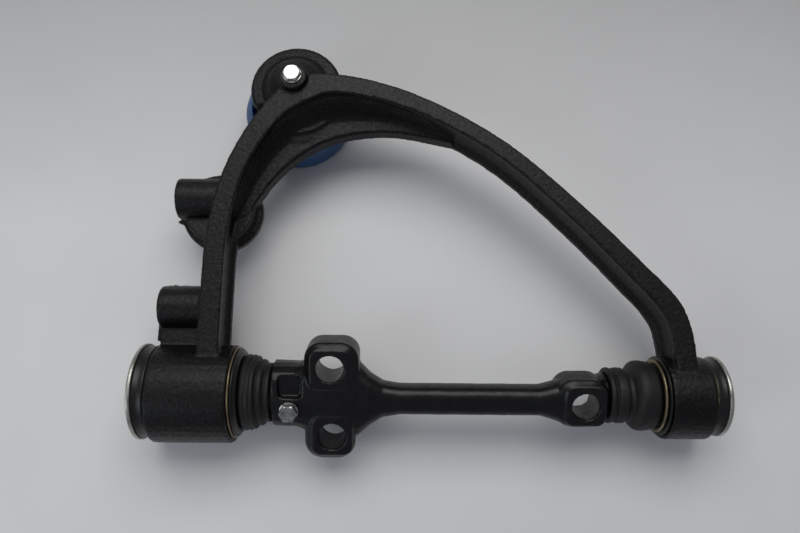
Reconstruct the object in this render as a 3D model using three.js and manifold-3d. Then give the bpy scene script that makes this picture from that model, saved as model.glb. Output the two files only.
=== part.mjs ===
// Front upper control arm of a light van: a cast A-arm that swings on a forged cross-shaft,
// with greased bushes in its two eyes and a ball joint in its nose.
// Built in millimetres in the shaft frame: X along the cross-shaft, Y towards the ball joint,
// Z up, with the shaft axis through the origin. The finished group is moved so that its
// origin is the middle of its base.
import * as THREE from 'three';
import { mergeVertices } from 'three/addons/utils/BufferGeometryUtils.js';
import Module from 'manifold-3d';

// ---- driving dimensions -------------------------------------------------------------
const GAP = 0.3;                 // air between pieces that touch
const ARM_DEPTH = 28.5;          // height of the I-section of the legs
const TOP_AT_EYES = 20;          // top of the legs over the shaft axis
const NOSE_RISE = 14;            // how much higher the legs stand at the ball joint
const NOSE_Y = 200;
const FLANGE_T = 4.5;            // flange of the I-section
const WEB_RECESS = 1.6;          // how far the web stands back under the flange
const BALL_X = -88;              // ball joint axis
const BALL_Y = 194;
const BALL_Z = 12;               // ball centre
const BALL_R = 12.5;
const HOUSING_R = 29.6;
const CAVITY_R = 17.5;
const NOSE_PLATE_TOP = 14.5;      // web plate at the ball joint
const PAD_TILT = 25.2 * Math.PI / 180;   // the bolting pads lean towards the vehicle
const PAD_TOP = 16.8;            // pad face above the shaft axis
const PAD_T = 22;                // pad thickness
const BOLT_HOLE_R = 8.5;         // clearance for an M16 bolt
const LUG_R = 13.2;              // torsion arm lugs
const LUG_Z = 5.5;
const LUG_BOLT_R = 5.5;
const BARREL_DROP = 2.2;         // the eyes' barrels are thicker away from the ball joint
const STUD_TIP_Z = -25.5;
const COVER_SHIFT = 3.4;         // the stud cover hangs a little to one side
const FLOOR_Z = -29;             // where the big eye's cap and the stud cover stand
const ROUND = 24;                // facets of small turned pieces
const ROUND_BIG = 36;            // facets of eyes, housing and cover

// Each eye: side is the direction from the middle of the arm to the eye's open end.
const EYES = {
  big: { side: -1, out: 176.3, face: 166.4, inner: 119.3, r: 28.3, bore: 21.9, capR: 29,
    sleeve: 19.2, liner: 15.3, journal: 15, stub: 9, nut: 12, root: 158, washer: 5 },
  small: { side: 1, out: 176.3, face: 167, inner: 141.6, r: 23.8, bore: 18.5, capR: 24.3,
    sleeve: 16.2, liner: 12.8, journal: 12.5, stub: 8, nut: 10.5, root: 158, washer: 2 },
};

const PAINT = new THREE.Color(0x1d1d1f);
const ZINC = new THREE.Color(0x9a9c92);
const RUBBER = new THREE.Color(0x161617);
const STEEL = new THREE.Color(0x8d8f90);

// ---- solids ---------------------------------------------------------------------------
const wasm = await Module();
wasm.setup();

function solid(geometry) {
  const bare = geometry.clone();
  bare.deleteAttribute('normal');
  bare.deleteAttribute('uv');
  const merged = mergeVertices(bare, 1e-4);
  const index = merged.index.array;
  const keep = [];
  for (let i = 0; i < index.length; i += 3) {
    const [a, b, c] = [index[i], index[i + 1], index[i + 2]];
    if (a !== b && b !== c && c !== a) keep.push(a, b, c);
  }
  const mesh = new wasm.Mesh({
    numProp: 3,
    vertProperties: new Float32Array(merged.attributes.position.array),
    triVerts: new Uint32Array(keep),
  });
  return new wasm.Manifold(mesh);
}

function geometryOf(manifold) {
  const mesh = manifold.getMesh();
  const geometry = new THREE.BufferGeometry();
  geometry.setAttribute('position', new THREE.BufferAttribute(mesh.vertProperties, 3));
  geometry.setIndex(new THREE.BufferAttribute(mesh.triVerts, 1));
  return geometry;
}

const join = (first, ...rest) => rest.reduce((all, piece) => all.add(piece), first);
const cut = (body, ...tools) => tools.reduce((left, tool) => left.subtract(tool), body);

// A solid turned about Z from [radius, z] points; a ring's profile closes on itself.
function turnedZ(profile, x = 0, y = 0, segments = ROUND) {
  const area = profile.reduce((sum, [r, z], i) => {
    const [nextR, nextZ] = profile[(i + 1) % profile.length];
    return sum + r * nextZ - nextR * z;
  }, 0);
  const points = (area > 0 ? profile : [...profile].reverse()).map(([r, z]) => new THREE.Vector2(r, z));
  const onAxis = points.findIndex((p, i) => p.x === 0 && points.at(i - 1).x === 0);
  if (onAxis < 0) points.push(points[0].clone());
  else points.push(...points.splice(0, onAxis));
  const geometry = new THREE.LatheGeometry(points, segments);
  geometry.rotateX(Math.PI / 2);
  geometry.translate(x, y, 0);
  return solid(geometry);
}

// The same about the shaft axis, from [radius, distance from the middle] points on one side.
function turnedX(profile, side, segments = ROUND) {
  return turnedZ(profile, 0, 0, segments).rotate([0, 90 * side, 0]);
}

// A closed solid through rings of equally many 3-D points.
function lofted(rings) {
  const count = rings[0].length;
  const positions = rings.flat().flatMap((p) => [p.x, p.y, p.z]);
  const index = [];
  for (let i = 0; i < rings.length - 1; i++) {
    for (let j = 0; j < count; j++) {
      const [a, b] = [i * count + j, i * count + (j + 1) % count];
      index.push(a, b, a + count, b, b + count, a + count);
    }
  }
  const flat = rings[0].map((p) => p.flat);
  const faces = THREE.ShapeUtils.triangulateShape(flat, []);
  const last = (rings.length - 1) * count;
  const turned = THREE.ShapeUtils.area(flat) > 0;
  faces.forEach(([a, b, c]) => {
    index.push(...(turned ? [a, c, b] : [a, b, c]));
    index.push(...(turned ? [last + a, last + b, last + c] : [last + a, last + c, last + b]));
  });
  const geometry = new THREE.BufferGeometry();
  geometry.setAttribute('position', new THREE.Float32BufferAttribute(positions, 3));
  geometry.setIndex(index);
  const body = solid(geometry);
  if (body.volume() > 0) return body;
  geometry.setIndex(index.map((_, i) => index[i - (i % 3) + 2 - (i % 3)]));
  return solid(geometry);
}

function block(x0, x1, y0, y1, z0, z1) {
  const geometry = new THREE.BoxGeometry(x1 - x0, y1 - y0, z1 - z0);
  geometry.translate((x0 + x1) / 2, (y0 + y1) / 2, (z0 + z1) / 2);
  return solid(geometry);
}

// A plate of rounded outline in X and Y with small bevels on its edges.
function roundedPlate(x0, x1, y0, y1, z0, z1, radius, bevel = 1) {
  const [a, b, c, d] = [x0 + bevel, x1 - bevel, y0 + bevel, y1 - bevel];
  const shape = new THREE.Shape();
  shape.moveTo(a + radius, c).lineTo(b - radius, c);
  shape.absarc(b - radius, c + radius, radius, -Math.PI / 2, 0);
  shape.absarc(b - radius, d - radius, radius, 0, Math.PI / 2);
  shape.absarc(a + radius, d - radius, radius, Math.PI / 2, Math.PI);
  shape.absarc(a + radius, c + radius, radius, Math.PI, 1.5 * Math.PI);
  const geometry = new THREE.ExtrudeGeometry(shape, { depth: z1 - z0 - 2 * bevel, curveSegments: 6,
    bevelThickness: bevel, bevelSize: bevel, bevelSegments: 1 });
  geometry.translate(0, 0, z0 + bevel);
  return solid(geometry);
}

const hexagon = (acrossFlats, z0, z1, x = 0, y = 0) => {
  const corner = acrossFlats / 2 / Math.cos(Math.PI / 6);
  return turnedZ([[0, z0], [corner, z0], [corner, z1], [0, z1]], x, y, 6);
};
const bar = (radius, z0, z1, x = 0, y = 0, segments = ROUND) =>
  turnedZ([[0, z0], [radius, z0], [radius, z1], [0, z1]], x, y, segments);

// ---- the cast arm ---------------------------------------------------------------------
const topAt = (y) => TOP_AT_EYES + NOSE_RISE * (Math.max(y, 0) / NOSE_Y) ** 1.6;

// Middle line of the legs, up the short leg, round the nose and down the long leg: x, y, width.
const LEG_LINE = [[-133.4, 4, 12.8], [-133.6, 58, 12.8], [-131.6, 100, 12.4], [-121.8, 139, 12],
  [-99.5, 174.5, 14], [-82, 187.5, 17], [-64.5, 191.3, 13], [-20, 182.7, 11], [40, 152.7, 10.2],
  [93, 107.2, 11.2], [125, 74.4, 12], [143.4, 54.2, 12.6], [149.6, 41, 12.4], [153.2, 4, 12.4]];

function legLine(count) {
  const middle = new THREE.CatmullRomCurve3(LEG_LINE.map(([x, y, w]) => new THREE.Vector3(x, y, w)),
    false, 'centripetal');
  return Array.from({ length: count + 1 }, (_, i) => {
    const t = i / count;
    const at = middle.getPoint(t);
    const along = middle.getTangent(t);
    const out = new THREE.Vector2(-along.y, along.x).normalize();
    return { x: at.x, y: at.y, half: at.z / 2, out };
  });
}

function legRing({ x, y, half, out }) {
  const top = topAt(y);
  const bottom = top - ARM_DEPTH;
  const web = half - WEB_RECESS;
  const profile = [[-half, top], [half, top], [half, top - FLANGE_T], [web, top - FLANGE_T - 1.5],
    [web, bottom + FLANGE_T + 1.5], [half, bottom + FLANGE_T], [half, bottom],
    [-half - 1, bottom], [-half - 1, bottom + FLANGE_T], [-web, bottom + FLANGE_T + 1.5],
    [-web, top - FLANGE_T - 1.5], [-half, top - FLANGE_T]];
  return profile.map(([across, z]) => {
    const point = new THREE.Vector3(x + out.x * across, y + out.y * across, z);
    point.flat = new THREE.Vector2(across, z);
    return point;
  });
}

// The web plate that fills the inside of the nose, and its edge facing the shaft.
const PLATE_EDGE = [[-117, 112], [-103.5, 133], [-90, 147], [-72, 159], [-52, 165.3], [-26, 167.5],
  [-4, 164.3], [14, 160.5]];
const PLATE_ROOT = [[-131, 106], [-120, 142], [-100, 174], [-66, 190.5], [-44, 189], [-20, 182.5],
  [2, 174], [16, 166.5]];
const PLATE_T = 10.5;
// Section of the plate from its root to its edge: part of the way, height. It is dished
// against the wall of the leg.
const PLATE_SECTION = [[0, 0.4], [1, 0.4], [1, PLATE_T - 1], [0.96, PLATE_T], [0.6, PLATE_T],
  [0.49, PLATE_T + 1.4], [0.4, PLATE_T + 4], [0.33, PLATE_T + 8], [0.28, 24], [0, 24]];

function nosePlate() {
  const curve = (points) => new THREE.CatmullRomCurve3(points.map(([x, y]) => new THREE.Vector3(x, y, 0)));
  const [edge, root] = [curve(PLATE_EDGE), curve(PLATE_ROOT)];
  const count = 16;
  const rings = Array.from({ length: count + 1 }, (_, i) => {
    const inner = edge.getPoint(i / count);
    const outer = root.getPoint(i / count);
    const corner = (at, lift) => new THREE.Vector3(at.x, at.y, topAt(at.y) - ARM_DEPTH + lift);
    const reach = inner.distanceTo(outer);
    return PLATE_SECTION.map(([from, height]) => {
      const point = corner(outer.clone().lerp(inner, from), height);
      point.flat = new THREE.Vector2(from * reach, height);
      return point;
    });
  });
  return lofted(rings);
}

function ballHousing() {
  const disc = turnedZ([[0, -3], [24, -3], [26.5, -1], [HOUSING_R - 0.8, 14], [HOUSING_R, 16],
    [HOUSING_R, 19], [HOUSING_R - 1.5, 20.5], [21.5, 21.5], [16, 28], [9.2, 32.5], [8.6, 37], [0, 37]],
    BALL_X, BALL_Y, ROUND_BIG);
  // inside the nose the disc is cut down to the plate, with a round wall left for the cavity
  const inside = block(-140, -20, 130, BALL_Y - 12, NOSE_PLATE_TOP, 36);
  const wall = CAVITY_R + 2.6;
  const kept = turnedZ([[0, 0], [wall, 0], [wall, 17.5], [13, 27], [13, 40], [0, 40]], BALL_X, BALL_Y, ROUND_BIG);
  return disc.subtract(inside.subtract(kept));
}

function ballCavity() {
  return join(
    turnedZ([[0, -4], [CAVITY_R, -4], [CAVITY_R, 17], [10, 26.5], [0, 26.5]], BALL_X, BALL_Y, ROUND_BIG),
    turnedZ([[0, -2.4], [19.2, -2.4], [19.2, -0.2], [0, -0.2]], BALL_X, BALL_Y, ROUND_BIG),
    bar(4, 20, 40, BALL_X, BALL_Y, 24),
  );
}

const BUMP_PAD = { x: -136.3, y: 115.9, r: 26.2 };
const LUGS = [{ y: 122.2, end: -161.8 }, { y: 51.2, end: -166.6 }];

function castArm() {
  let arm = lofted(legLine(64).map(legRing));
  arm = join(arm, nosePlate(), ballHousing());
  arm = join(arm, turnedZ([[0, -8.5], [BUMP_PAD.r, -8.5], [BUMP_PAD.r, -3], [22.5, -2], [22.5, 7], [0, 7]],
    BUMP_PAD.x, BUMP_PAD.y, ROUND_BIG));
  LUGS.forEach(({ y, end }) => {
    const lug = bar(LUG_R, 0, -end - 130, 0, 0, 28).rotate([0, 90, 0]).translate([end, y, LUG_Z]);
    arm = arm.add(lug);
  });
  arm = join(arm, block(-165.9, -136, 22, 49, -7.5, 8), block(-168, -158, 30.2, 49, -7, 7.5));
  Object.values(EYES).forEach((eye) => {
    const barrel = turnedX([[0, eye.inner], [eye.r, eye.inner], [eye.r, eye.face], [0, eye.face]],
      eye.side, ROUND_BIG);
    arm = arm.add(wasm.Manifold.hull([barrel, barrel.translate([0, -BARREL_DROP, 0])]));
  });
  Object.values(EYES).forEach((eye) => {
    arm = arm.subtract(turnedX([[0, eye.inner - 12], [eye.bore, eye.inner - 12],
      [eye.bore, eye.face + 12], [0, eye.face + 12]], eye.side, ROUND_BIG));
  });
  LUGS.forEach(({ y, end }) => {
    arm = arm.subtract(bar(LUG_BOLT_R, -1, 30, 0, 0, 24).rotate([0, 90, 0]).translate([end, y, LUG_Z]));
  });
  return arm.subtract(ballCavity());
}

// ---- the cross-shaft --------------------------------------------------------------------
// Forged in its own frame: X along the shaft, Y up the pads, Z out of the pad faces.
const BAR_LIFT = 6;              // the bar and pads are forged off the journals' axis
const SPOT = 1.6;                // height of the machined spot faces over the pads
const BAR_SHIFT = -0.8;
const LOBES = [                  // bolting lobes: middle, half width, far and near end, hole
  { x: -59.3, half: 16, y0: -8, y1: 36.4, holeX: -60.2, holeY: 21.4, spot: [8.2, 33.4] },
  { x: -60.6, half: 15, y0: -36.6, y1: 8, holeX: -59.2, holeY: -21.4, spot: [-33.6, -8.2] },
  { x: 90.2, half: 15.4, y0: -15, y1: 14.6, holeX: 92.2, holeY: -1, spot: [-13.4, 12] },
];

// Stations of the forging between the journals: x, half width, half height, lift.
const FORGING = [[-95.6, 19.6, 15, 0], [-81, 19.6, 15, 1], [-75, 22, 13, 3], [-44, 23.5, 11.5, 5],
  [-37, 16, 11, BAR_LIFT], [-29, 10.6, 9.4, BAR_LIFT], [-19, 8.8, 8.8, BAR_LIFT],
  [66, 8.8, 8.8, BAR_LIFT], [73, 11, 9.4, BAR_LIFT], [80, 13.6, 10, BAR_LIFT], [98, 13.6, 10, 5],
  [104, 13.3, 12, 1], [107, 13.3, 13.3, 0]];

function forging() {
  const sides = 20;
  return lofted(FORGING.map(([x, halfY, halfZ, lift]) => Array.from({ length: sides }, (_, i) => {
    const angle = 2 * Math.PI * i / sides;
    const soft = (v) => Math.sign(v) * Math.abs(v) ** 0.75;
    const middle = lift * BAR_SHIFT / BAR_LIFT;
    const point = new THREE.Vector3(x, middle + halfY * soft(Math.cos(angle)),
      lift + halfZ * soft(Math.sin(angle)));
    point.flat = new THREE.Vector2(point.y, point.z);
    return point;
  })));
}

function pads() {
  const lobes = LOBES.map(({ x, half, y0, y1 }) =>
    roundedPlate(x - half, x + half, y0, y1, PAD_TOP - PAD_T, PAD_TOP - SPOT, 8, 2.2));
  const spots = LOBES.map(({ holeX, spot }) =>
    roundedPlate(holeX - 12.4, holeX + 12.4, spot[0], spot[1], 0, PAD_TOP, 5, 0.8));
  return join(...lobes, ...spots);
}

function crossShaft() {
  let shaft = join(forging(), pads());
  Object.values(EYES).forEach((eye) => {
    const start = eye.side < 0 ? 93 : 105;
    shaft = shaft.add(turnedX([[0, start], [eye.journal, start], [eye.journal, eye.root],
      [eye.stub, eye.root], [eye.stub, eye.out - 5], [0, eye.out - 5]], eye.side));
  });
  shaft = cut(shaft, ...LOBES.map(({ holeX, holeY }) =>
    bar(BOLT_HOLE_R, PAD_TOP - PAD_T - 5, PAD_TOP + 5, holeX, holeY, 28)));
  // pocket forged into the collar beside the grease plug, and the plug's hole
  shaft = cut(shaft, roundedPlate(-91.5, -77, 2.2, 15.6, 11, 24, 3, 0.5), bar(3.9, 4, 24, -84.6, -5, 16));
  return shaft.rotate([PAD_TILT * 180 / Math.PI, 0, 0]);
}

// ---- pieces in and around an eye ----------------------------------------------------------
function eyePieces(name, eye) {
  const s = eye.side;
  const ring = (outer, inner, from, to) =>
    turnedX([[inner, from], [outer, from], [outer, to], [inner, to]], s);
  const lipR = eye.capR - 1;
  const washerAt = eye.root + GAP;
  const nutAt = washerAt + 3 + GAP;
  const sleeveOut = eye.bore - GAP;
  const washerEnd = eye.inner - GAP - eye.washer;
  return {
    [`${name}_bush_sleeve`]: [ring(sleeveOut, eye.sleeve, eye.inner, eye.face), STEEL, 0.35, 0.9],
    [`${name}_bush_liner`]: [ring(eye.sleeve - GAP, eye.liner, eye.inner + 0.5, eye.root - 2),
      new THREE.Color(0xb08a3c), 0.5, 0.3],
    [`${name}_end_seal`]: [ring(lipR, eye.bore - 1, eye.face + GAP, eye.out - 2.9), RUBBER, 0.6, 0],
    [`${name}_end_cap`]: [turnedX([[0, eye.out - 1.4], [0, eye.out - 3.4], [eye.sleeve - 1, eye.out - 3.4],
      [eye.sleeve, eye.out - 2.6], [eye.capR, eye.out - 2.6], [eye.capR, eye.out],
      [eye.capR - 3, eye.out], [eye.capR - 4.5, eye.out - 1.4]], s, ROUND_BIG), ZINC, 0.35, 0.9],
    [`${name}_thrust_washer`]: [turnedX([[eye.liner + 0.5, eye.inner - GAP], [eye.r - 0.4, eye.inner - GAP],
      [eye.r - 0.4, eye.inner - 1.5], [eye.r - 0.4 - 0.9 * (eye.washer - 1.2), washerEnd],
      [eye.liner + 0.5, washerEnd]], s, ROUND_BIG), ZINC, 0.4, 0.8],
    [`${name}_shaft_washer`]: [ring(eye.sleeve - 0.8, eye.stub + GAP, washerAt, washerAt + 3), ZINC, 0.4, 0.9],
    [`${name}_shaft_nut`]: [cut(hexagon(2 * eye.nut, nutAt, nutAt + 7), bar(eye.stub + GAP, 0, 200))
      .rotate([0, 90 * s, 0]), STEEL, 0.4, 0.9],
  };
}

// Dust boots: [distance from the middle, outer radius], then the inside back again.
const BIG_BOOT = [[113.6, 20.6], [112.6, 22.6], [109, 23], [105.6, 22], [104.6, 19.4], [101.4, 19.4],
  [100.2, 17.8], [96.4, 17.8], [96.4, 15.4], [100.8, 15.4], [102, 17.4], [105.4, 17.6], [106.6, 20.2],
  [111.4, 20.6], [112.2, 17.6], [113.6, 17.2]];
const SMALL_BOOT = [[136.7, 18.6], [133, 20.8], [125.6, 21.2], [122.4, 18], [121.2, 15.6], [118.4, 15.6],
  [117.6, 16.7], [107.4, 16.7], [107.4, 12.9], [121.6, 12.9], [124.6, 18.2], [133, 18], [136.7, 16.2]];
const SMALL_BOOT_BAND = [[139, 21.6], [137.6, 22.4], [134.9, 21.6], [134.9, 20.6], [137.4, 19.6],
  [139, 19.2]];

function boots() {
  const turned = (points, side) => turnedX(points.map(([d, r]) => [r, d]), side);
  return {
    big_dust_boot: [turned(BIG_BOOT, -1), RUBBER, 0.85, 0],
    small_dust_boot: [turned(SMALL_BOOT, 1), RUBBER, 0.85, 0],
  };
}

// ---- ball joint ----------------------------------------------------------------------------
function seat(low, high, openR) {
  const points = [];
  for (let i = 0; i <= 6; i++) {
    const z = low + (high - low) * i / 6;
    points.push([Math.max(Math.sqrt((BALL_R + GAP) ** 2 - (z - BALL_Z) ** 2), openR), z]);
  }
  return points;
}

function ballJoint() {
  const at = (profile, segments = ROUND) => turnedZ(profile, BALL_X, BALL_Y, segments);
  const outer = CAVITY_R - GAP;
  const ball = Array.from({ length: 13 }, (_, i) => {
    const angle = Math.PI / 2 - i * 2.62 / 12;
    return [i ? BALL_R * Math.cos(angle) : 0, BALL_Z + BALL_R * Math.sin(angle)];
  });
  const shank = [[6, -3], [7.6, -5.5], [7, -13], [6, -14], [6, STUD_TIP_Z + 1], [5, STUD_TIP_Z],
    [0, STUD_TIP_Z]];
  const stud = cut(at([...ball, ...shank]),
    bar(1.6, -12, 12, 0, 0, 12).rotate([90, 0, 0]).translate([BALL_X, BALL_Y, -21.8]));
  let nut = cut(join(hexagon(19, -20, -14.6, BALL_X, BALL_Y), bar(8.8, -24, -19.8, BALL_X, BALL_Y)),
    bar(6.3, -30, 0, BALL_X, BALL_Y));
  [0, 60, 120].forEach((turn) => {
    nut = nut.subtract(block(-12, 12, -1.7, 1.7, -25, -20.4).rotate([0, 0, turn + 30])
      .translate([BALL_X, BALL_Y, 0]));
  });
  const pin = join(bar(1.2, -10.4, 10.4, 0, 0, 12), bar(1.7, 9.6, 12.2, 0, 0, 12)).rotate([90, 0, 0])
    .translate([BALL_X, BALL_Y, -21.8]);
  const plugAt = 37 + GAP;
  return {
    upper_ball_seat: [at([[4.2, 26.2], ...seat(BALL_Z + 0.3, 26.2 - 2.6, 4.2).reverse(), [outer, BALL_Z + 0.3],
      [outer, 16.8], [9.8, 26.2]]), new THREE.Color(0xd8d4c4), 0.5, 0],
    lower_ball_seat: [at([[outer, BALL_Z], [outer, 2.6], [11.6, 2.6], ...seat(6, BALL_Z, 10.8)]),
      new THREE.Color(0xd8d4c4), 0.5, 0],
    closing_plate: [at([[13.2, 2.3], [outer, 2.3], [outer, 0.1], [13.2, 0.1]]), STEEL, 0.4, 0.9],
    snap_ring: [at([[15.5, -0.5], [18.9, -0.5], [18.9, -2.1], [15.5, -2.1]]), STEEL, 0.4, 0.9],
    ball_stud: [stud, STEEL, 0.3, 0.9],
    castle_nut: [nut, ZINC, 0.4, 0.8],
    cotter_pin: [pin, ZINC, 0.4, 0.8],
    joint_boot: [at([[19.5, -3.3], [23, -3.3], [23, -5.5], [20.5, -6.5], [19.5, -9], [12, -11],
      [9.6, -12.4], [9.6, -13.4], [8, -13.4], [8, -10.5], [11, -9.4], [17.5, -7.6], [19.5, -5.5]]),
    RUBBER, 0.8, 0],
    boot_small_ring: [at([[9.9, -12.6], [11.1, -12.6], [11.1, -13.6], [9.9, -13.6]]), STEEL, 0.4, 0.9],
    boot_clamp_ring: [at([[23.3, -3.4], [24.6, -3.4], [24.6, -5.2], [23.3, -5.2]]), STEEL, 0.4, 0.9],
    joint_grease_plug: [join(hexagon(10, plugAt + 0.8, plugAt + 4, BALL_X, BALL_Y),
      bar(5.9, plugAt, plugAt + 1, BALL_X, BALL_Y), bar(3.6, 27.5, plugAt + 0.5, BALL_X, BALL_Y, 20)), ZINC, 0.4, 0.8],
    protective_cap: [turnedZ([[30.2, -3.6], [31.4, -3.6], [32.4, -5], [35.4, -10], [36, -13], [35.8, -25],
      [34.6, FLOOR_Z + 1], [33.4, FLOOR_Z], [0, FLOOR_Z], [0, FLOOR_Z + 1.8], [32.8, FLOOR_Z + 1.8],
      [33.8, -25], [34, -13], [33.4, -11], [30.6, -6]], BALL_X - COVER_SHIFT, BALL_Y - 1.2, ROUND_BIG),
    new THREE.Color(0x123a66), 0.35, 0],
  };
}

function shaftPlug() {
  const seatZ = 16.4;
  const plug = join(hexagon(11, seatZ + 1.2, seatZ + 5), bar(6.4, seatZ, seatZ + 1.4),
    bar(3.6, seatZ - 8, seatZ + 0.2, 0, 0, 20));
  return plug.translate([-84.6, -5, 0]).rotate([PAD_TILT * 180 / Math.PI, 0, 0]);
}

// ---- assembly --------------------------------------------------------------------------------
const arm = new THREE.Group();
const pieces = {
  cast_arm: [castArm(), PAINT, 0.7, 0.2],
  cross_shaft: [crossShaft(), PAINT, 0.5, 0.3],
  shaft_grease_plug: [shaftPlug(), ZINC, 0.4, 0.8],
  ...eyePieces('big', EYES.big),
  ...eyePieces('small', EYES.small),
  ...boots(),
  small_boot_band: [turnedX(SMALL_BOOT_BAND.map(([d, r]) => [r, d]), 1), ZINC, 0.4, 0.8],
  ...ballJoint(),
};
Object.entries(pieces).forEach(([name, [body, color, roughness, metalness]]) => {
  const material = new THREE.MeshStandardMaterial({ color, roughness, metalness });
  const mesh = new THREE.Mesh(geometryOf(body), material);
  mesh.name = name;
  arm.add(mesh);
});

const box = new THREE.Box3().setFromObject(arm);
const middle = box.getCenter(new THREE.Vector3());
arm.position.set(-middle.x, -middle.y, -box.min.z);
const model = new THREE.Group();
model.add(arm);
export default model;
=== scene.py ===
import math

import bmesh
import bpy
import numpy as np
from mathutils import Matrix, Vector


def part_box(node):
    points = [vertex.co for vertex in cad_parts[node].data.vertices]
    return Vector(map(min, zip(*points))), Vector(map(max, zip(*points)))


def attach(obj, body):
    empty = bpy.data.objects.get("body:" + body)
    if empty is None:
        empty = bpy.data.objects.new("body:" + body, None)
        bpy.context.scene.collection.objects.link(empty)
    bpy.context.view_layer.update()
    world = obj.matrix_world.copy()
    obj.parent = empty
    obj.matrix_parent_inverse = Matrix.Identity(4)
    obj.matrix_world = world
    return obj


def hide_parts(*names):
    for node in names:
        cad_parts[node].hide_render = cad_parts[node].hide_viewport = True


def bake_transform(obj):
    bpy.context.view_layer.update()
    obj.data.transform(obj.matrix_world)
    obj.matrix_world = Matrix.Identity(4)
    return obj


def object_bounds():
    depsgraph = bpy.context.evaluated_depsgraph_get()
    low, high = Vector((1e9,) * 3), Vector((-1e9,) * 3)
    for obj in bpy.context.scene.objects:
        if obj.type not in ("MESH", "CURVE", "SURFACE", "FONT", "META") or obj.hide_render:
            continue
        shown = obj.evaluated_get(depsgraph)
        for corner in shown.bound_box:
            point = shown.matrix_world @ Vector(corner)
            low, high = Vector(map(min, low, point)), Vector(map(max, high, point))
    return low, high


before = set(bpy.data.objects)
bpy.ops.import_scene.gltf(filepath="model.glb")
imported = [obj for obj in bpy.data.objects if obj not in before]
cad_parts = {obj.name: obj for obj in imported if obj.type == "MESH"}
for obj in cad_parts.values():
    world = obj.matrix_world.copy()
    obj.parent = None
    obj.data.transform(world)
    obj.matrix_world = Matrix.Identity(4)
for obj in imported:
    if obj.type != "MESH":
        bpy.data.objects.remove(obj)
cad_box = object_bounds()

# The camera stands over the arm and looks down on it a little from the shaft's side.
# Its lens and place give the arm the lean and the size that it has on the table.
end_low, end_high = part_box("big_end_cap")
shaft_y = (end_low[1] + end_high[1]) / 2
shaft_z = (end_low[2] + end_high[2]) / 2
camera_height = 0.4059
camera_turn, camera_tip, camera_roll = 0.58, 12.75, -0.43
camera_data = bpy.data.cameras.new("camera")
camera_data.lens = 29.06
camera_data.sensor_width = 36
camera = bpy.data.objects.new("camera", camera_data)
bpy.context.collection.objects.link(camera)
look = Matrix.Rotation(math.radians(camera_turn), 4, "Z") @ Matrix.Rotation(math.radians(camera_tip), 4, "X")
look = look @ Matrix.Rotation(math.radians(camera_roll), 4, "Y")
camera.matrix_world = Matrix.Translation((-0.0214, shaft_y - 0.0118, shaft_z + camera_height)) @ look
bpy.context.scene.camera = camera


# The room is evenly grey. One large soft box behind the ball joint gives most of the light,
# and a weaker one on the left opens the shadows.
def soft_box(name, place, target, size, watts, colour):
    data = bpy.data.lights.new(name, "AREA")
    data.shape = "RECTANGLE"
    data.size, data.size_y = size
    data.energy = watts
    data.color = colour
    lamp = bpy.data.objects.new(name, data)
    lamp.location = place
    lamp.rotation_euler = (Vector(target) - Vector(place)).to_track_quat("-Z", "Y").to_euler()
    bpy.context.collection.objects.link(lamp)


bpy.context.scene.view_settings.view_transform = "Standard"
world = bpy.data.worlds.new("room")
bpy.context.scene.world = world
world.use_nodes = True
room = world.node_tree.nodes["Background"]
room.inputs["Color"].default_value = (0.84, 0.88, 1.0, 1)
room.inputs["Strength"].default_value = 0.24
soft_box("window", (-0.05, 0.6, 1.1), (0.02, -0.06, 0), (1.3, 0.8), 9.5, (1.0, 0.99, 0.955))
soft_box("side", (-0.8, -0.5, 0.6), (0, -0.05, 0), (0.5, 0.5), 1.6, (0.9, 0.95, 1.0))


# The table is covered by a large sheet of pale grey paper with a faint mottle, and the arm's
# lowest points rest on it. Painted shade darkens the sheet towards the far side, as a falloff of the light.
def shader_material(name):
    material = bpy.data.materials.new(name)
    material.use_nodes = True
    return material, material.node_tree, material.node_tree.nodes["Principled BSDF"]


def add_node(tree, kind, **settings):
    node = tree.nodes.new(kind)
    for key, value in settings.items():
        if key in node.inputs:
            node.inputs[key].default_value = value
        else:
            setattr(node, key, value)
    return node


def grey(value):
    return (value, value, value)


def noise_at(tree, scale, detail=4.0, rough=0.6):
    place = add_node(tree, "ShaderNodeTexCoord")
    noise = add_node(tree, "ShaderNodeTexNoise", Scale=scale, Detail=detail, Roughness=rough)
    tree.links.new(place.outputs["Object"], noise.inputs["Vector"])
    return noise.outputs["Fac"]


def ramp(tree, source, stops):
    node = add_node(tree, "ShaderNodeValToRGB")
    while len(node.color_ramp.elements) < len(stops):
        node.color_ramp.elements.new(0.5)
    for element, (place, colour) in zip(node.color_ramp.elements, stops):
        element.position = place
        element.color = (*colour, 1)
    tree.links.new(source, node.inputs["Fac"])
    return node.outputs["Color"]


def bumped(tree, shader, heights):
    last = None
    for source, strength, distance in heights:
        bump = add_node(tree, "ShaderNodeBump", Strength=strength, Distance=distance)
        tree.links.new(source, bump.inputs["Height"])
        if last:
            tree.links.new(last, bump.inputs["Normal"])
        last = bump.outputs["Normal"]
    tree.links.new(last, shader.inputs["Normal"])


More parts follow.
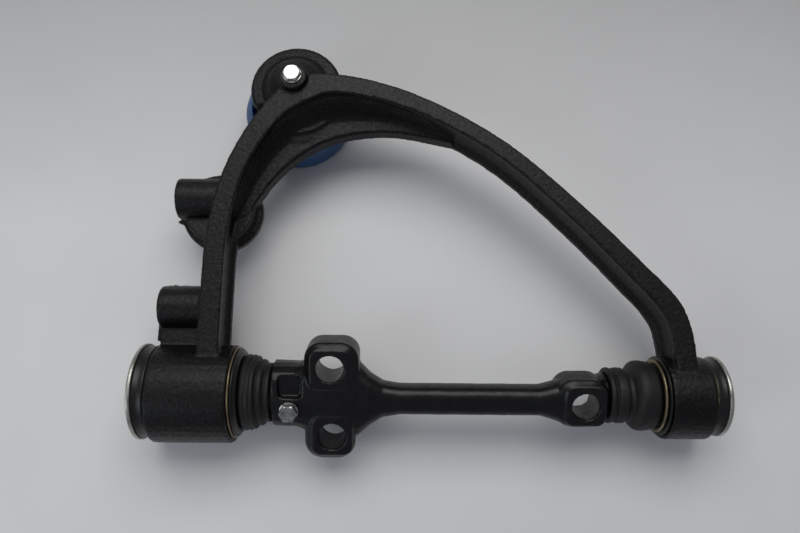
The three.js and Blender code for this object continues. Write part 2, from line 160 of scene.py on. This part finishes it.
def paper_material():
    near_edge, far_edge = -0.15, 0.22
    material, tree, shader = shader_material("pale_paper")
    mottle = ramp(tree, noise_at(tree, 9, 2), [(0.3, grey(0.74)), (0.7, grey(0.77))])
    place = add_node(tree, "ShaderNodeTexCoord")
    apart = add_node(tree, "ShaderNodeSeparateXYZ")
    tree.links.new(place.outputs["Object"], apart.inputs[0])
    spread = add_node(tree, "ShaderNodeMapRange")
    for socket, value in zip(spread.inputs[1:5], (near_edge, far_edge, 0.0, 1.0)):
        socket.default_value = value
    tree.links.new(apart.outputs["Y"], spread.inputs["Value"])
    # Painted shade: the sheet's colour falls off towards the far side, standing in for the light's falloff.
    painted_falloff = ramp(tree, spread.outputs["Result"], [(0.0, grey(1)), (0.45, grey(0.95)), (1.0, grey(0.58))])
    shaded = add_node(tree, "ShaderNodeMix", data_type="RGBA", blend_type="MULTIPLY")
    shaded.inputs[0].default_value = 1
    tree.links.new(mottle, shaded.inputs[6])
    tree.links.new(painted_falloff, shaded.inputs[7])
    tree.links.new(shaded.outputs[2], shader.inputs["Base Color"])
    shader.inputs["Roughness"].default_value = 0.55
    bumped(tree, shader, [(noise_at(tree, 1500), 0.05, 0.0002)])
    return material


paper_half = 4
paper_gap = 0.0001
corners = [(-paper_half, -paper_half, 0), (paper_half, -paper_half, 0),
           (paper_half, paper_half, 0), (-paper_half, paper_half, 0)]
floor_mesh = bpy.data.meshes.new("table_sheet")
floor_mesh.from_pydata(corners, [], [(0, 1, 2, 3)])
floor_sheet = bpy.data.objects.new("table_sheet", floor_mesh)
floor_sheet.location.z = cad_box[0][2] - paper_gap
bpy.context.collection.objects.link(floor_sheet)
floor_sheet.data.materials.append(paper_material())


# The arm is one grey iron casting: two deep I-section legs that meet over the ball joint's
# housing, with two bored eyes, a bump pad, a web plate in the nose and two bolt lugs.
# It is cast in sand and painted black, so its edges are round and its skin is grainy.
def node_copy(name, node):
    piece = bpy.data.objects.new(name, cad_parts[node].data.copy())
    piece.data.materials.clear()
    bpy.context.collection.objects.link(piece)
    return piece


def baked(piece):
    bpy.context.view_layer.update()
    graph = bpy.context.evaluated_depsgraph_get()
    mesh = bpy.data.meshes.new_from_object(piece.evaluated_get(graph))
    piece.modifiers.clear()
    piece.data = mesh
    for polygon in mesh.polygons:
        polygon.use_smooth = True
    return piece


def melted(piece, voxel, passes, swell):
    remesh = piece.modifiers.new("voxels", "REMESH")
    remesh.mode = "VOXEL"
    remesh.voxel_size = voxel
    smooth = piece.modifiers.new("melt", "SMOOTH")
    smooth.factor = 0.5
    smooth.iterations = passes
    grow = piece.modifiers.new("swell", "DISPLACE")
    grow.strength = swell
    grow.mid_level = 0
    return baked(piece)


def grained(piece, size, depth):
    texture = bpy.data.textures.new(piece.name + "_grain", "CLOUDS")
    texture.noise_scale = size
    texture.noise_depth = 2
    displace = piece.modifiers.new("grain", "DISPLACE")
    displace.texture = texture
    displace.strength = depth
    displace.mid_level = 0.5
    return baked(piece)


def coated(piece, material, body, node):
    piece.data.materials.clear()
    piece.data.materials.append(material)
    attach(piece, body)
    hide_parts(node)


def mixed(tree, mask, under, over):
    mix = add_node(tree, "ShaderNodeMix", data_type="RGBA")
    tree.links.new(mask, mix.inputs[0])
    tree.links.new(under, mix.inputs[6])
    mix.inputs[7].default_value = (*over, 1)
    return mix.outputs[2]


def cast_paint():
    iron_speck, peak_highlight, bare_chip = (0.05, 0.043, 0.037), (0.032, 0.026, 0.021), (0.30, 0.28, 0.26)
    material, tree, shader = shader_material("cast_paint")
    base = ramp(tree, noise_at(tree, 700, 6, 0.7), [(0.42, grey(0.001)), (0.62, (0.0065, 0.0063, 0.006))])
    specks = ramp(tree, noise_at(tree, 900, 3, 0.7), [(0.64, grey(0)), (0.70, grey(1))])
    worn = mixed(tree, specks, base, iron_speck)
    # Painted highlight: the grain's peaks and sharp edges get a lighter warm tint, as where light catches
    # the sand-cast skin.
    shape = add_node(tree, "ShaderNodeNewGeometry")
    edges = ramp(tree, shape.outputs["Pointiness"], [(0.53, grey(0)), (0.62, grey(0.55))])
    peak_highlighted = mixed(tree, edges, worn, peak_highlight)
    place = add_node(tree, "ShaderNodeTexCoord")
    cells = add_node(tree, "ShaderNodeTexVoronoi", Scale=38)
    tree.links.new(place.outputs["Object"], cells.inputs["Vector"])
    chips = ramp(tree, cells.outputs["Distance"], [(0.028, grey(1)), (0.036, grey(0))])
    tree.links.new(mixed(tree, chips, peak_highlighted, bare_chip), shader.inputs["Base Color"])
    shader.inputs["Specular IOR Level"].default_value = 0.24
    shine = ramp(tree, noise_at(tree, 500, 5), [(0.35, grey(0.22)), (0.65, grey(0.44))])
    tree.links.new(shine, shader.inputs["Roughness"])
    bumped(tree, shader, [(noise_at(tree, 520, 5, 0.7), 0.42, 0.0008),
                          (noise_at(tree, 1500, 3, 0.6), 0.45, 0.0003)])
    return material


stud_low, stud_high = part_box("ball_stud")
ball_x = (stud_low[0] + stud_high[0]) / 2
ball_y = (stud_low[1] + stud_high[1]) / 2


def about_stud(r, along, turn):
    return (ball_x + r * math.cos(turn), ball_y + r * math.sin(turn), shaft_z + along)


def add_shell(build, rows):
    for one, two in zip(rows, rows[1:]):
        for k in range(len(one)):
            after = (k + 1) % len(one)
            build.faces.new((one[k], one[after], two[after], two[k]))
    build.faces.new(rows[0])
    build.faces.new(rows[-1])
    bmesh.ops.recalc_face_normals(build, faces=build.faces)


def add_nose_fillet(build):
    section = [(19, 8), (34, 8), (34, 12.2), (28, 13.4), (24, 15.8), (21, 19.2), (19, 21)]
    start, sweep, steps = 235, 110, 32
    rows = []
    for i in range(steps + 1):
        turn = math.radians(start + sweep * i / steps)
        rows.append([build.verts.new(about_stud(r / 1000, z / 1000, turn)) for r, z in section])
    add_shell(build, rows)


def add_fin(build, outline, low, high):
    add_shell(build, [[build.verts.new((x / 1000, shaft_y + y / 1000, shaft_z + z / 1000))
                       for x, y in outline] for z in (low, high)])


# Thin fins of iron stand where the mould's halves met, at the bump pad and the front lug.
bump_pad_fin = [(-161.6, 112), (-165.4, 109.2), (-163.6, 107.6), (-160.8, 107), (-159.6, 104.2),
                (-157.4, 103.4), (-156.8, 100.6), (-153.6, 98.8), (-152.4, 96.2), (-148, 94), (-142, 96),
                (-145, 110)]
front_lug_fin = [(-165.4, 63), (-163.8, 65.3), (-162, 64.6), (-160.6, 65.6), (-157.6, 64.7), (-153, 65.2),
                 (-149, 64.7), (-142, 65.1), (-142, 60), (-164, 60)]
arm = node_copy("arm_casting", "cast_arm")
casting = bmesh.new()
add_nose_fillet(casting)
add_fin(casting, bump_pad_fin, -3.4, -2)
add_fin(casting, front_lug_fin, 4.8, 6.2)
casting.from_mesh(arm.data)
casting.to_mesh(arm.data)
casting.free()
arm = grained(melted(arm, voxel=0.0008, passes=3, swell=0.00015), size=0.002, depth=0.0003)
coated(arm, cast_paint(), "arm", "cast_arm")


# The cross-shaft is a steel forging with two journals, a cranked bar and tilted bolting
# pads with three clearance holes. It is painted satin black over a smooth forged skin.
def forged_paint():
    material, tree, shader = shader_material("forged_paint")
    base = ramp(tree, noise_at(tree, 120, 5), [(0.35, grey(0.002)), (0.7, (0.0045, 0.0045, 0.005))])
    tree.links.new(base, shader.inputs["Base Color"])
    shader.inputs["Specular IOR Level"].default_value = 0.34
    shine = ramp(tree, noise_at(tree, 300, 4), [(0.3, grey(0.27)), (0.7, grey(0.4))])
    tree.links.new(shine, shader.inputs["Roughness"])
    bumped(tree, shader, [(noise_at(tree, 150, 3), 0.25, 0.0006), (noise_at(tree, 1200, 3), 0.12, 0.0002)])
    return material


shaft = melted(node_copy("shaft_forging", "cross_shaft"), voxel=0.0007, passes=6, swell=0.0002)
shaft = grained(shaft, size=0.007, depth=0.0003)
coated(shaft, forged_paint(), "cross_shaft", "cross_shaft")


# Each eye's open end is closed by a pressed zinc-plated cap with a rolled rim and a dished
# middle, which clamps a moulded black rubber seal against the eye.
def linked_piece(build, name, edge):
    bmesh.ops.recalc_face_normals(build, faces=build.faces)
    mesh = bpy.data.meshes.new(name)
    build.to_mesh(mesh)
    build.free()
    piece = bpy.data.objects.new(name, mesh)
    bpy.context.collection.objects.link(piece)
    bevel = piece.modifiers.new("eased_edges", "BEVEL")
    bevel.width = edge
    bevel.segments = 2
    bevel.limit_method = "ANGLE"
    bevel.angle_limit = math.radians(28)
    return baked(piece)


def circle(build, radii, along, to_world):
    steps = len(radii)
    return [build.verts.new(to_world(r / 1000, along / 1000, 2 * math.pi * i / steps))
            for i, r in enumerate(radii)]


def turned(name, profile, to_world, steps=96, edge=0.0003):
    """Turn a profile of (radius, place along the axis), in millimetres, about an axis."""
    build = bmesh.new()
    rows = [circle(build, [r] * (steps if r > 0 else 1), along, to_world) for r, along in profile]
    is_ring = all(r > 0 for r, _ in profile)
    for one, two in zip(rows, rows[1:] + rows[:1] * is_ring):
        for i in range(steps):
            a, b = one[i % len(one)], one[(i + 1) % len(one)]
            c, d = two[(i + 1) % len(two)], two[i % len(two)]
            face = list(dict.fromkeys((a, b, c, d)))
            if len(face) > 2:
                build.faces.new(face)
    return linked_piece(build, name, edge)


def about_shaft(side):
    return lambda r, along, turn: (side * along, shaft_y + r * math.cos(turn), shaft_z + r * math.sin(turn))


def zinc_plate(name="zinc_plate", tint=(0.50, 0.50, 0.46), dull=(0.30, 0.30, 0.25)):
    material, tree, shader = shader_material(name)
    colour = ramp(tree, noise_at(tree, 170, 5), [(0.3, dull), (0.65, tint)])
    tree.links.new(colour, shader.inputs["Base Color"])
    shader.inputs["Metallic"].default_value = 0.9
    shine = ramp(tree, noise_at(tree, 420, 4), [(0.3, grey(0.26)), (0.7, grey(0.46))])
    tree.links.new(shine, shader.inputs["Roughness"])
    bumped(tree, shader, [(noise_at(tree, 900, 3), 0.12, 0.0002)])
    return material


def moulded_rubber(name, low, high):
    material, tree, shader = shader_material(name)
    colour = ramp(tree, noise_at(tree, 200, 4), [(0.3, grey(0.0035)), (0.7, (0.0075, 0.0073, 0.0066))])
    tree.links.new(colour, shader.inputs["Base Color"])
    shine = ramp(tree, noise_at(tree, 350, 4), [(0.3, grey(low)), (0.7, grey(high))])
    tree.links.new(shine, shader.inputs["Roughness"])
    shader.inputs["Specular IOR Level"].default_value = 0.4
    bumped(tree, shader, [(noise_at(tree, 1400, 3), 0.15, 0.0002)])
    return material


zinc = zinc_plate()
boot_rubber = moulded_rubber("boot_rubber", 0.5, 0.68)
seal_rubber = moulded_rubber("end_seal_rubber", 0.3, 0.42)
out = 176.3
for eye, side, rim, hub, seal_at in (("big", -1, 29.0, 19.2, 166.7), ("small", 1, 24.3, 16.2, 167.3)):
    cap = [(0, out - 1.9), (hub - 7, out - 1.9), (hub - 5.4, out - 1.2), (rim - 5, out - 1.2),
           (rim - 3.2, out - 0.1), (rim - 0.8, out), (rim, out - 0.6), (rim, out - 2.2),
           (rim - 0.5, out - 2.6), (hub, out - 2.6), (hub - 1, out - 3.4), (0, out - 3.4)]
    coated(turned(f"{eye}_cap", cap, about_shaft(side)), zinc, "arm", f"{eye}_end_cap")
    seal = [(rim - 7.5, seal_at), (rim - 1.6, seal_at), (rim - 1.0, seal_at + 0.8),
            (rim - 1.4, seal_at + 2.4), (rim - 1.4, out - 4.4), (rim - 0.9, out - 3.2),
            (rim - 7.5, out - 3.0)]
    coated(turned(f"{eye}_seal", seal, about_shaft(side)), seal_rubber, "arm", f"{eye}_end_seal")


# The small eye's sleeve has a thin rolled edge, which stands out between the eye and the
# seal. It is pressed steel with a yellow passivated zinc plate.
edge_profile = [(18, 167.05), (23.2, 167.05), (23.5, 167.3), (23.2, 167.6), (18, 167.6)]
sleeve_edge = turned("small_sleeve_edge", edge_profile, about_shaft(1), edge=0.00005)
sleeve_edge.data.materials.append(zinc_plate("sleeve_edge_plate", (0.28, 0.23, 0.14), (0.12, 0.10, 0.07)))
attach(sleeve_edge, "arm")


# A steel sleeve is pressed into each eye and lined with a bronze-backed bearing shell.
# Inside the end cap a plated washer and a steel nut hold the shaft's threaded end.
def turned_steel():
    tone = 0.42
    material, tree, shader = shader_material("turned_steel")
    colour = ramp(tree, noise_at(tree, 140, 4), [(0.3, grey(tone * 0.7)), (0.7, grey(tone))])
    tree.links.new(colour, shader.inputs["Base Color"])
    shader.inputs["Metallic"].default_value = 1.0
    shine = ramp(tree, noise_at(tree, 600, 4), [(0.3, grey(0.24)), (0.7, grey(0.4))])
    tree.links.new(shine, shader.inputs["Roughness"])
    bumped(tree, shader, [(noise_at(tree, 1600, 2), 0.08, 0.0001)])
    return material


def finish_node(node, material):
    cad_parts[node].data.materials.clear()
    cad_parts[node].data.materials.append(material)


steel = turned_steel()
bronze = zinc_plate("bearing_bronze", (0.50, 0.32, 0.13), (0.34, 0.21, 0.08))
for eye in ("big", "small"):
    finish_node(f"{eye}_bush_sleeve", steel)
    finish_node(f"{eye}_bush_liner", bronze)
    finish_node(f"{eye}_shaft_washer", zinc)
    finish_node(f"{eye}_shaft_nut", steel)


# At the inner end of each eye a plated ring holds the mouth of a dust boot. The big one
# is yellow passivated and has a rubber lip beside it. The small eye has a black ring, and
# a yellow band clamped round the boot.
yellow = zinc_plate("yellow_passivate", (0.30, 0.24, 0.14), (0.12, 0.10, 0.07))
big_ring = [(15.8, 119), (27.2, 119), (27.6, 118.6), (27.7, 118.1), (27.3, 117.7), (15.8, 117.6)]
coated(turned("big_boot_ring", big_ring, about_shaft(-1), edge=0.0001), yellow,
       "arm", "big_thrust_washer")
big_lip = [(15.8, 117.4), (26.4, 117.4), (26.8, 116.9), (26.4, 116.1), (25.4, 115.8), (25.1, 115.1),
           (24, 114.2), (22.4, 113.9), (15.8, 113.9)]
coated(turned("big_boot_lip", big_lip, about_shaft(-1), edge=0.0001), seal_rubber,
       "arm", "big_thrust_washer")
small_ring = [(13.3, 141.3), (22.2, 141.3), (22.4, 140.6), (24, 140.2), (24, 139.5), (23.6, 139.3),
              (13.3, 139.3)]
coated(turned("small_boot_ring", small_ring, about_shaft(1), edge=0.0001), seal_rubber,
       "arm", "small_thrust_washer")
band = [(19.4, 138.6), (21.6, 138.6), (22.1, 138.2), (22.1, 137.4), (21.6, 137), (20.6, 137), (19.4, 137.2)]
coated(turned("small_boot_band_ring", band, about_shaft(1), edge=0.0001), yellow,
       "arm", "small_boot_band")


# The dust boots are moulded rubber bellows between the eye's ring and the shaft's collar,
# with a lip that grips the journal.
def rounded(points, steps=4):
    curve = [np.array(p, float) for p in points]
    out = []
    for i, point in enumerate(curve):
        before, after = curve[i - 1], curve[(i + 1) % len(curve)]
        size = 0.45 * min(np.linalg.norm(point - before), np.linalg.norm(after - point), 4)
        start = point + (before - point) / np.linalg.norm(before - point) * size
        end = point + (after - point) / np.linalg.norm(after - point) * size
        for k in range(steps + 1):
            t = k / steps
            out.append(tuple((1 - t) ** 2 * start + 2 * t * (1 - t) * point + t * t * end))
    return out


big_boot = [(20.6, 113.7), (22.2, 113.2), (23.2, 111.2), (22.4, 110), (22.5, 109.6), (23, 108.2), (22, 107),
            (22.1, 106.6), (22.2, 105.6), (20.8, 104.8), (19.5, 104.4), (20.1, 103.2), (20, 101.4),
            (18.4, 100.4), (17.4, 99.6), (18, 98.6), (17.8, 96.8), (15.4, 96.4), (15.4, 100.8), (17.4, 102),
            (17.6, 105.4), (20.2, 106.6), (20.6, 111.4), (17.6, 112.2), (17.2, 113.7)]
small_boot = [(18.6, 136.8), (20.4, 135), (21, 131.4), (21.5, 127.8), (20.8, 124.6), (18, 122.4),
              (16.1, 121.6), (15.5, 120.2), (15.7, 118.6), (16.8, 117.9), (17, 115), (16.7, 112.6),
              (15.4, 111.7), (15.4, 111.1), (16.8, 110.2), (17, 108.6), (16.4, 107.4), (12.9, 107.4),
              (12.9, 121.6), (18.2, 124.6), (18, 133), (16.2, 136.8)]
for eye, side, bellows in (("big", -1, big_boot), ("small", 1, small_boot)):
    boot = turned(f"{eye}_boot", rounded(bellows), about_shaft(side), edge=0.00005)
    coated(boot, boot_rubber, "arm", f"{eye}_dust_boot")


# Hexagon plugs close the grease holes of the shaft's collar and of the ball joint. They are
# zinc-plated steel, screwed in, with a washer face and chamfered corners.
def hexagon_plug(name, flats, base, top, washer, shank, depth, to_world):
    steps = 48
    corner = flats / 2 / math.cos(math.pi / 6)
    turns = [2 * math.pi * i / steps for i in range(steps)]
    sides = [corner * (math.cos(math.pi / 6) / math.cos((turn % (math.pi / 3)) - math.pi / 6))
             for turn in turns]
    hexagon = [min(r, corner * 0.985) for r in sides]
    chamfer = [min(r, flats / 2 * 0.94) for r in sides]
    dish = [flats * 0.3] * steps
    build = bmesh.new()
    add_shell(build, [circle(build, radii, along, to_world) for radii, along in (
        ([shank] * steps, base - depth), ([shank] * steps, base), ([washer] * steps, base),
        ([washer] * steps, base + 0.9), (hexagon, base + 1.0), (hexagon, top - 0.8), (chamfer, top),
        (dish, top - 0.25))])
    return linked_piece(build, name, edge=0.0001)


pad_tilt = Matrix.Rotation(math.radians(25.2), 4, "X")


def about_shaft_plug(r, along, turn):
    local = Vector((-0.0846 + r * math.cos(turn), -0.005 + r * math.sin(turn), along))
    return pad_tilt @ local + Vector((0, shaft_y, shaft_z))


bright_zinc = zinc_plate("bright_zinc", (0.75, 0.75, 0.70), (0.45, 0.45, 0.42))
worn_zinc = zinc_plate("worn_zinc", (0.52, 0.52, 0.50), (0.10, 0.10, 0.10))
joint_plug = hexagon_plug("joint_plug", 10, 37.3, 41.3, 5.8, 3.5, 9, about_stud)
coated(joint_plug, bright_zinc, "arm", "joint_grease_plug")
shaft_plug = hexagon_plug("shaft_plug", 10, 16.4, 21.4, 5.7, 3.5, 7.5, about_shaft_plug)
coated(shaft_plug, worn_zinc, "cross_shaft", "shaft_grease_plug")


# The stud cover is a dark blue moulded cup that protects the boot and the thread until the
# arm is fitted. It has a beaded rim, sits a little askew, and pulls off downwards.
def cover_plastic():
    material, tree, shader = shader_material("cover_plastic")
    colour = ramp(tree, noise_at(tree, 60, 3), [(0.3, (0.004, 0.052, 0.16)), (0.7, (0.006, 0.07, 0.21))])
    tree.links.new(colour, shader.inputs["Base Color"])
    shine = ramp(tree, noise_at(tree, 300, 3), [(0.3, grey(0.3)), (0.7, grey(0.42))])
    tree.links.new(shine, shader.inputs["Roughness"])
    bumped(tree, shader, [(noise_at(tree, 500, 3), 0.06, 0.0003)])
    return material


def about_cover(r, along, turn):
    return (ball_x - 0.0034 + r * math.cos(turn), ball_y - 0.0012 + r * math.sin(turn), shaft_z + along)


cover = [(0, -27.2), (32.2, -27.2), (33.4, -26.2), (33.8, -24), (34, -13), (33.4, -10.6), (30.8, -6.4),
         (30, -5), (30, -3.9), (30.6, -3.5), (31.4, -3.7), (31.9, -4.6), (33, -6.2), (35, -8.8), (35.8, -11),
         (36.1, -13.6), (36, -24), (35.5, -26.6), (34.6, -28.4), (33.4, -29), (28, -29), (27.4, -28.5),
         (24, -28.5), (23.4, -29), (0, -29)]
coated(turned("stud_cover", cover, about_cover, steps=128, edge=0.0002), cover_plastic(),
       "protective_cap", "protective_cap")


# The ball stud is one turned steel forging: a ball, a neck, a taper for the knuckle and a
# thread for the castle nut. It hangs down from the housing into the cover.
ball_r, ball_at = 12.5, 12
ball_steps = 24
ball_sweep = 2.62
thread_at, thread_pitch, thread_turns = -14.4, 1.5, 7
thread_crest, thread_root = 6.0, 5.2
stud = [(0, ball_at + ball_r)]
for i in range(1, ball_steps + 1):
    angle = math.pi / 2 - i * ball_sweep / ball_steps
    stud.append((ball_r * math.cos(angle), ball_at + ball_r * math.sin(angle)))
stud += [(6, 1), (6, -4), (7.4, -6.4), (7, -13), (6, -14)]
for turn in range(thread_turns):
    crest_at = thread_at - thread_pitch * turn
    stud += [(thread_crest, crest_at), (thread_root, crest_at - 0.7), (thread_crest, crest_at - 1.4)]
stud += [(5, -25.5), (0, -25.5)]
coated(turned("stud", stud, about_stud, edge=0.00005), steel, "ball_stud", "ball_stud")


# A plated castle nut with a split pin waits on the stud. A steel plate and a snap ring close
# the housing under the ball, and two wire rings hold the joint's boot.
for node, finish in (("castle_nut", zinc), ("cotter_pin", zinc), ("snap_ring", steel),
                     ("closing_plate", steel), ("boot_small_ring", steel), ("boot_clamp_ring", steel)):
    finish_node(node, finish)


# The ball turns between two moulded seats of cream-coloured plastic, one pressed into the
# top of the housing and one held up by the closing plate.
def seat_plastic():
    material, tree, shader = shader_material("seat_plastic")
    colour = ramp(tree, noise_at(tree, 80, 3), [(0.3, (0.62, 0.58, 0.48)), (0.7, (0.72, 0.68, 0.58))])
    tree.links.new(colour, shader.inputs["Base Color"])
    shader.inputs["Roughness"].default_value = 0.45
    bumped(tree, shader, [(noise_at(tree, 700, 2), 0.06, 0.0002)])
    return material


seat = seat_plastic()
for node in ("upper_ball_seat", "lower_ball_seat"):
    finish_node(node, seat)

# The joint's boot is a small moulded rubber bellows. Its wide mouth is clamped to the housing and its narrow
# one grips the stud. It is made here as two still halves, an upper and a lower fold.
fold_top, fold_middle, fold_bottom = -4.5, -8.8, -12.5
upper_fold = [(19.5, -3.4), (22.2, -3.4), (22.8, -4), (22.6, -5.4), (20.8, -6.2), (20.4, -7.4), (17.4, -8.8),
              (16.2, -8.2), (18, -7), (19.5, -5.4)]
lower_fold = [(17.4, -8.8), (14, -10.2), (10.6, -11.4), (9.7, -12.4), (9.7, -13.4), (8, -13.4), (8, -10.6),
              (11, -9.4), (16.2, -8.2)]
for name, fold, bodies, heights in (
        ("upper", upper_fold, ("arm", "joint_boot"), (fold_top, fold_middle)),
        ("lower", lower_fold, ("joint_boot", "boot_ring"), (fold_middle, fold_bottom))):
    half = turned(f"joint_boot_{name}", rounded(fold), about_stud, edge=0.00005)
    half.data.materials.clear()
    half.data.materials.append(boot_rubber)
    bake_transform(half)
    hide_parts("joint_boot")
